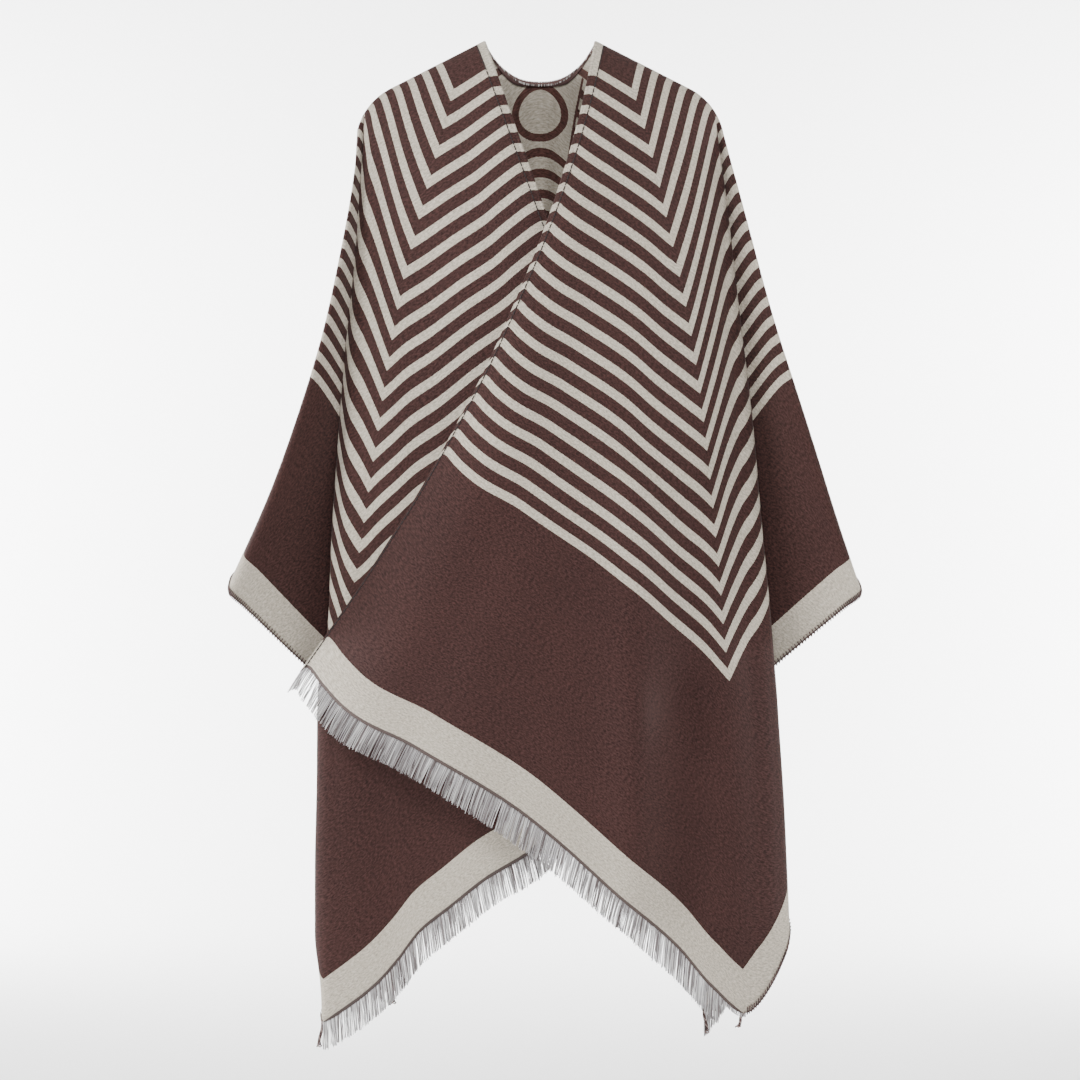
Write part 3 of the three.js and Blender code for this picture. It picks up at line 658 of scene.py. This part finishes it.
def swept_ring(name, rings, uv, material):
    """A closed tube from a row of closed rings, capped at both ends, with faces turned out."""
    count, sides = rings.shape[:2]
    number = np.arange(count * sides).reshape(count, sides)
    turn = np.roll(number, -1, axis=1)
    faces = np.stack([number[:-1], turn[:-1], turn[1:], number[1:]], -1).reshape(-1, 4)
    points = rings.reshape(-1, 3)
    corner = points[faces]
    volume = np.sum(corner[:, 0] * np.cross(corner[:, 1], corner[:, 2]))
    volume += np.sum(corner[:, 0] * np.cross(corner[:, 2], corner[:, 3]))
    faces = faces if volume > 0 else faces[:, ::-1]
    caps = [number[0].tolist()[:: -1 if volume > 0 else 1], number[-1].tolist()[:: 1 if volume > 0 else -1]]
    return mesh_object(name, points, faces.tolist() + caps, [material], None, uv)


def slit_fold(cloth, name):
    """The folded edge: at each height a closed section in (beside, lift) that runs round
    the nose, along the inner side of the turned part and back against the cloth."""
    angle = np.linspace(0, math.pi, 7)
    nose = np.stack([-1.9 * np.sin(angle), -1.05 + 1.95 * np.cos(angle)], -1)
    inner_side = [(3, -3.05), (6, -3), (SLIT_HEM, -2.7)]
    cut_edge = [(SLIT_HEM + 0.4, -1.9), (SLIT_HEM, -1.0), (2, -1.0)]
    section = np.concatenate([[(2, 0.93)], nose, inner_side, cut_edge])
    along = np.linspace(0.0, 1, 260)[:, None]
    beside, lift = section[:, 0][None, :], section[:, 1][None, :]
    rays = edge_beside_slit(cloth, np.maximum(beside, 0.0) + 0 * along, along + 0 * beside)
    surface, flat, _ = on_cloth(cloth, rays, along + 0 * beside, lift + 0 * along)
    inward, _, _ = on_cloth(cloth, edge_beside_slit(cloth, 4.0 + 0 * along, along), along)
    rim, _, _ = on_cloth(cloth, 0 * along, along)
    outward = rim - inward
    outward /= np.linalg.norm(outward, axis=-1, keepdims=True)
    surface = surface + outward * np.maximum(-beside, 0)[..., None]
    return swept_ring(name, surface, flat.reshape(-1, 2), outer_wool)


left_slit_fold = slit_fold(left_front, "left_slit_fold")
right_slit_fold = slit_fold(right_front, "right_slit_fold")
for fold, node in ((left_slit_fold, "left_slit_hem"), (right_slit_fold, "right_slit_hem")):
    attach(fold, "root")
    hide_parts(node)


# The slit stitching: a line of short dark stitches along the inner side of each slit hem,
# through both layers, so each stitch sinks a little at its ends.
STITCH_PITCH = 6.2
STITCH_LENGTH = 5.0
STITCH_RADIUS = 0.62
STITCH_SINK = 1.6


def thread_material(name, colours, worn_share=0.1):
    """Sewing or fringe thread. The attribute `shade`, one number for each thread, picks its
    colour from the row of colours, and its twist lightens it by up to `worn_share`."""
    material = bpy.data.materials.new(name)
    material.use_nodes = True
    tree, calc, add = node_maker(material)
    shade = add("ShaderNodeAttribute", {"attribute_name": "shade"}).outputs["Fac"]
    ramp = add("ShaderNodeValToRGB", Fac=shade)
    ramp.color_ramp.interpolation = "CONSTANT"
    elements = ramp.color_ramp.elements
    while len(elements) < len(colours):
        elements.new(0.5)
    for index, colour in enumerate(colours):
        elements[index].position = index / len(colours)
        elements[index].color = (*colour, 1)
    place = add("ShaderNodeTexCoord").outputs["Object"]
    twist = add("ShaderNodeTexNoise", Vector=place, Scale=1500.0, Detail=1.0).outputs["Fac"]
    share = calc("MULTIPLY", twist, worn_share)
    worn = mix_colours(tree, add, share, ramp.outputs["Color"], (0.3, 0.28, 0.27, 1))
    shader = tree.nodes["Principled BSDF"]
    tree.links.new(worn, shader.inputs["Base Color"])
    bump = add("ShaderNodeBump", Strength=0.3, Distance=0.0002, Height=twist)
    tree.links.new(bump.outputs["Normal"], shader.inputs["Normal"])
    shader.inputs["Roughness"].default_value = 0.8
    shader.inputs["Specular IOR Level"].default_value = 0.2
    return material


def threads(name, paths, radius, shade, material, sides=4):
    """Round threads along many paths of equal point count: at each point a ring of `sides`
    stands square to the path, and the ends are closed."""
    count, steps = paths.shape[:2]
    along = np.gradient(paths, axis=1)
    along /= np.linalg.norm(along, axis=-1, keepdims=True)
    chord = paths[:, -1] - paths[:, 0] + 1e-6
    upright = np.abs(chord[:, 2]) > 0.7 * np.linalg.norm(chord, axis=-1)
    guide = np.where(upright[:, None], [[0.0, 1.0, 0.1]], [[0.1, 0.2, 1.0]])[:, None, :]
    first = np.cross(along, guide)
    first /= np.linalg.norm(first, axis=-1, keepdims=True)
    second = np.cross(along, first)
    angle = np.arange(sides) * 2 * math.pi / sides
    radius = np.broadcast_to(radius, (count, steps))[..., None, None]
    spoke = first[..., None, :] * np.cos(angle)[:, None] + second[..., None, :] * np.sin(angle)[:, None]
    rings = paths[..., None, :] + spoke * radius
    number = np.arange(count * steps * sides).reshape(count, steps, sides)
    turn = np.roll(number, -1, axis=2)
    walls = np.stack([number[:, :-1], turn[:, :-1], turn[:, 1:], number[:, 1:]], -1).reshape(-1, 4)
    faces = walls.tolist() + number[:, 0, ::-1].tolist() + number[:, -1].tolist()
    corner = rings.reshape(-1, 3)[walls[:1]][0]
    out = np.cross(corner[1] - corner[0], corner[2] - corner[0]) @ (corner[0] - paths[0, 0])
    if out < 0:
        faces = [face[::-1] for face in faces]
    thing = mesh_object(name, rings.reshape(-1, 3), faces, [material])
    values = np.repeat(np.asarray(shade, np.float32), steps * sides)
    thing.data.attributes.new("shade", "FLOAT", "POINT").data.foreach_set("value", values)
    return thing


def slit_stitches(cloth, name):
    """Stitches on the line SLIT_HEM beside the slit, evenly spaced along the flat cloth."""
    middle = np.arange(8, HALF_LENGTH - 4, STITCH_PITCH)[:, None]
    reach = np.linspace(-0.5, 0.5, 5)[None, :]
    along = (middle + reach * STITCH_LENGTH) / HALF_LENGTH
    rays = edge_beside_slit(cloth, SLIT_HEM - 0.3 + 0 * along, along)
    lift = CLOTH / 2 + 0.45 - STITCH_SINK * reach**2 + 0 * along
    paths, _, _ = on_cloth(cloth, rays, along, lift)
    return threads(name, paths, STITCH_RADIUS, np.full(len(paths), 0.1), seam_thread, sides=6)


seam_thread = thread_material("seam_thread", [(0.014, 0.010, 0.010)], worn_share=0.03)
left_slit_stitches = slit_stitches(left_front, "left_slit_stitches")
right_slit_stitches = slit_stitches(right_front, "right_slit_stitches")
for stitches in (left_slit_stitches, right_slit_stitches):
    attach(stitches, "root")


# The neck hem: the scooped back of the neck is turned in, 7.6 mm deep beside the shoulders
# and narrower in the middle, so a brown band of the outer face shows inside.
NECK_HEM_MIDDLE = 3.6
NECK_HEM_GAIN = 4
RIM_STEP = 0.006


def neck_turning():
    """A closed section swept along the neckline, from the right neck point to the left:
    round the cut edge and down the inner face to a depth that narrows in the middle. A
    point RIM_STEP down each ray gives the way out over the edge."""
    places = np.linspace(-NECK_END, NECK_END, 181)
    angle = np.linspace(0, math.pi, 6)
    rings, flats = [], []
    for cloth, half in ((right_back, places[places < 0]), (left_back, places[places >= 0])):
        edge = np.abs(half)[:, None]
        depth = NECK_HEM_MIDDLE + NECK_HEM_GAIN * np.clip((edge - 35) / 90, 0, 1)
        down = np.concatenate([0 * angle, [1.0, 1.0, 0.3]])[None, :] * depth
        out = np.concatenate([1.3 * np.sin(angle), [0, 0, 0]])[None, :]
        lift = np.concatenate([-0.85 + 1.78 * np.cos(angle), [-2.5, -1.1, -0.95]])[None, :]
        point, flat, _ = on_cloth(cloth, edge + 0 * down, down / HALF_LENGTH, lift + 0 * down)
        below, _, _ = on_cloth(cloth, edge, RIM_STEP + 0 * edge)
        rim, _, _ = on_cloth(cloth, edge, 0 * edge)
        up = (rim - below) / np.linalg.norm(rim - below, axis=-1, keepdims=True)
        rings.append(point + up * out[..., None])
        flats.append(flat)
    uv = np.concatenate(flats).reshape(-1, 2)
    return swept_ring("neck_turning", np.concatenate(rings), uv, turned_wool)


turned_wool = bpy.data.materials.new("turned_wool")
turned_wool.use_nodes = True
tree, _, add = node_maker(turned_wool)
turned_shader = tree.nodes["Principled BSDF"]
place = add("ShaderNodeTexCoord").outputs["Object"]
grain = add("ShaderNodeTexNoise", Vector=place, Scale=900.0, Detail=2.0).outputs["Fac"]
tint = mix_colours(tree, add, grain, (0.035, 0.018, 0.017, 1), (0.12, 0.06, 0.055, 1))
tree.links.new(tint, turned_shader.inputs["Base Color"])
bump = add("ShaderNodeBump", Strength=0.4, Distance=0.0003, Height=grain)
tree.links.new(bump.outputs["Normal"], turned_shader.inputs["Normal"])
turned_shader.inputs["Roughness"].default_value = 0.9
neck_turned = neck_turning()
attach(neck_turned, "root")
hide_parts("neck_hem")


# The neck overcasting: slanted loops of dark and off-white thread over the turned edge.
LOOP_POINTS = 9
LOOP_BULGE = 2.0
NECK_LOOP_PITCH = 1.9
NECK_LOOP_RADIUS = 0.42
LAST_SHADE = 0.99


def loops_over_edge(cloth, edge, along_edge, reach, slant, front_lift, back_lift):
    """Paths of loops over an edge that lies at `along_edge` on the rays: each starts on the
    outer face `reach` down from the edge, goes round it and ends on the inner face."""
    t = np.linspace(0, 1, LOOP_POINTS)[None, :]
    rays = edge[:, None] + slant * (t - 0.5)
    sign = 1 if along_edge == 0 else -1
    down = reach * np.abs(2 * t - 1) ** 0.8
    along = along_edge + sign * down / HALF_LENGTH
    lift = back_lift + (front_lift - back_lift) * (0.5 + 0.5 * np.cos(math.pi * t))
    points, _, _ = on_cloth(cloth, rays, along + 0 * rays, lift + 0 * rays)
    rim, _, _ = on_cloth(cloth, rays, along_edge + 0 * rays)
    inside, _, _ = on_cloth(cloth, rays, along_edge + sign * RIM_STEP + 0 * rays)
    out = (rim - inside) / np.linalg.norm(rim - inside, axis=-1, keepdims=True)
    return points + out * (LOOP_BULGE * np.sin(math.pi * t) ** 2)[..., None]


overcast_thread = thread_material(
    "overcast_thread", [(0.05, 0.035, 0.033), (0.55, 0.54, 0.52), (0.12, 0.07, 0.065), (0.3, 0.28, 0.27)]
)
rng = np.random.default_rng(11)
neck_places = np.arange(2, NECK_END, NECK_LOOP_PITCH * NECK_END / NECK_SPAN)
neck_loops = [
    loops_over_edge(cloth, neck_places, 0, 3.4, 3.5, 1.35, -2.9) for cloth in (left_back, right_back)
]
neck_loops = np.concatenate(neck_loops)
neck_shades = rng.random(len(neck_loops)) * LAST_SHADE
neck_overcast = threads("neck_overcast", neck_loops, NECK_LOOP_RADIUS, neck_shades, overcast_thread, sides=5)
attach(neck_overcast, "root")


# The side overlocking: brown and beige loops over the raw side edges of the fronts and
# the back, from each corner up to the cuff, with a thread that runs along the edge.
SIDE_PITCH = 3.4
SIDE_RUNS = 60
SIDE_RADIUS = 0.7
side_thread = thread_material(
    "side_thread", [(0.035, 0.018, 0.017), (0.06, 0.032, 0.03), (0.2, 0.15, 0.135), (0.38, 0.35, 0.31)]
)


def side_stitches(cloth, name):
    """Slanted loops over a side edge, and a thread that runs along it on each face, in
    short runs that each reach the first point of the next."""
    places = np.arange(HALF_WIDTH + 3, HALF_WIDTH + HALF_LENGTH - 3, SIDE_PITCH)
    loops = loops_over_edge(cloth, places, 1, 6.0, 1.6, 1.9, -1.9)
    cords = []
    for lift in (1.15, -1.15):
        run = np.linspace(HALF_WIDTH + 1, HALF_WIDTH + HALF_LENGTH - 1, SIDE_RUNS * LOOP_POINTS)
        run = run.reshape(SIDE_RUNS, LOOP_POINTS)
        run[:, -1] += run[0, 1] - run[0, 0]
        points, _, _ = on_cloth(cloth, run, 1 - 0.4 / HALF_LENGTH + 0 * run, lift + 0.2 * np.sin(run * 1.2))
        cords.append(points)
    paths = np.concatenate([loops, *cords])
    shades = np.concatenate([0.45 * rng.random(len(loops)), np.full(len(paths) - len(loops), 0.1)])
    return threads(name, paths, SIDE_RADIUS, shades, side_thread)


SIDES = [
    ("left_front_side_stitches", left_front),
    ("right_front_side_stitches", right_front),
    ("left_back_side_stitches", left_back),
    ("right_back_side_stitches", right_back),
]
side_pieces = [side_stitches(cloth, name) for name, cloth in SIDES]
for piece in side_pieces:
    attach(piece, "root")


# The fringe: the warp ends left loose below both hems, fine grey, off-white and dark
# threads about 30 mm long that draw together in small bunches.
FRINGE_LENGTH = 30
FRINGE_PITCH = 0.56
FRINGE_BUNCH = 11
FRINGE_POINTS = 6
FRINGE_ROOT_RADIUS = 0.48
FRINGE_TIP_RADIUS = 0.36
TUCKED_FROM = 610
TUCKED_LENGTH = 5
FRINGE_COLOURS = [
    (0.42, 0.41, 0.41), (0.26, 0.25, 0.25), (0.62, 0.61, 0.6),
    (0.1, 0.08, 0.08), (0.34, 0.33, 0.33), (0.17, 0.15, 0.15),
]
fringe_thread = thread_material("fringe_thread", FRINGE_COLOURS)


def fringe_paths(cloth, tucked):
    """Threads that leave the hem along the rays, sag a little towards straight down, and
    lean to the middle of their bunch. Each has its own length and a slight wave. Past the
    edge place `tucked` they are turned up behind the hem, and only their ends show."""
    roots = np.arange(0.5, HALF_WIDTH, FRINGE_PITCH)
    roots = roots + rng.uniform(-0.3, 0.3, len(roots))
    t = np.linspace(0, 1, FRINGE_POINTS)[None, :]
    bunch = (np.floor(roots / FRINGE_BUNCH) + 0.5) * FRINGE_BUNCH + 2 * np.sin(roots // FRINGE_BUNCH * 2.3)
    lean = rng.uniform(0.0, 0.3, len(roots))[:, None]
    stray = rng.normal(0, 0.7, len(roots))[:, None]
    place = roots[:, None] + (bunch - roots)[:, None] * lean * t + stray * t**1.5
    place = np.clip(place, 0, HALF_WIDTH)
    length = FRINGE_LENGTH + rng.normal(0, 0.9, len(roots))[:, None] + 1.2 * np.sin(roots / 37)[:, None]
    turn = np.clip((roots - tucked) / 6, 0, 1)[:, None]
    length = length * (1 - turn) + TUCKED_LENGTH * turn
    rim, _, normal = on_cloth(cloth, place, np.ones_like(place))
    above, _, _ = on_cloth(cloth, place, 0.98 * np.ones_like(place))
    down = rim - above
    down /= np.linalg.norm(down, axis=-1, keepdims=True)
    down = down * (1 - 0.1 * t[..., None]) + np.array([0, 0, -0.1]) * t[..., None]
    swing = rng.normal(0, 0.7, len(roots))[:, None]
    phase = rng.uniform(0, 6, len(roots))[:, None]
    wave = swing * np.sin(3 * t + phase) * t
    lift = rng.uniform(-0.6, 0.6, len(roots))[:, None] + wave
    return rim + down * (length * t)[..., None] - down * 0.8 + normal * lift[..., None]


def fringe(name, halves, node, tucked=HALF_WIDTH):
    """One fringe: all the threads along the hem of one or both halves as one piece."""
    paths = np.concatenate([fringe_paths(cloth, tucked) for cloth in halves])
    taper = np.linspace(FRINGE_ROOT_RADIUS, FRINGE_TIP_RADIUS, FRINGE_POINTS)[None, :]
    radius = taper * rng.uniform(0.8, 1.25, len(paths))[:, None]
    piece = threads(name, paths, radius, rng.random(len(paths)) * LAST_SHADE, fringe_thread, sides=3)
    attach(piece, "root")
    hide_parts(node)
    return piece


left_fringe = fringe("left_front_fringe_threads", [left_front], "left_front_fringe", TUCKED_FROM)
right_fringe = fringe("right_front_fringe_threads", [right_front], "right_front_fringe")
back_fringe = fringe("back_fringe_threads", [left_back, right_back], "back_fringe")


# The corner tails: at each corner the overlocking threads are left long and twisted into
# a short cord with a frayed end.
TAIL_PLIES = 3
TAIL_TURNS = 3.5
TAIL_RADIUS = 0.75


def tail_paths(cloth, length, lean):
    """Plies wound round a line that hangs from the corner and leans sideways as it
    bends, opening out at the end."""
    corner, _, _ = on_cloth(cloth, np.array([float(HALF_WIDTH)]), np.array([1.0]))
    t = np.linspace(0, 1, 40)
    sway = lean * t**0.7 - cloth["side"] * np.sin(6 * t)
    line = corner + np.stack([sway, 0 * t, 1.5 - length * t], -1)
    spread = 1.0 + 1.6 * np.clip((t - 0.82) / 0.18, 0, 1)
    paths = []
    for ply in range(TAIL_PLIES):
        angle = 2 * math.pi * (TAIL_TURNS * t + ply / TAIL_PLIES)
        paths.append(line + np.stack([spread * np.cos(angle), spread * np.sin(angle), 0 * t], -1))
    return np.array(paths)


TAILS = [
    # corner, length and sideways lean in millimetres
    (left_front, 16, -8),
    (right_front, 28, -3),
    (left_back, 26, 3),
    (right_back, 28, 4),
]
tails = np.concatenate([tail_paths(cloth, length, lean) for cloth, length, lean in TAILS])
tail_shades = np.tile([0.05, 0.6, 0.4], len(TAILS))
corner_tails = threads("corner_tails", tails, TAIL_RADIUS, tail_shades, side_thread, sides=6)
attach(corner_tails, "root")
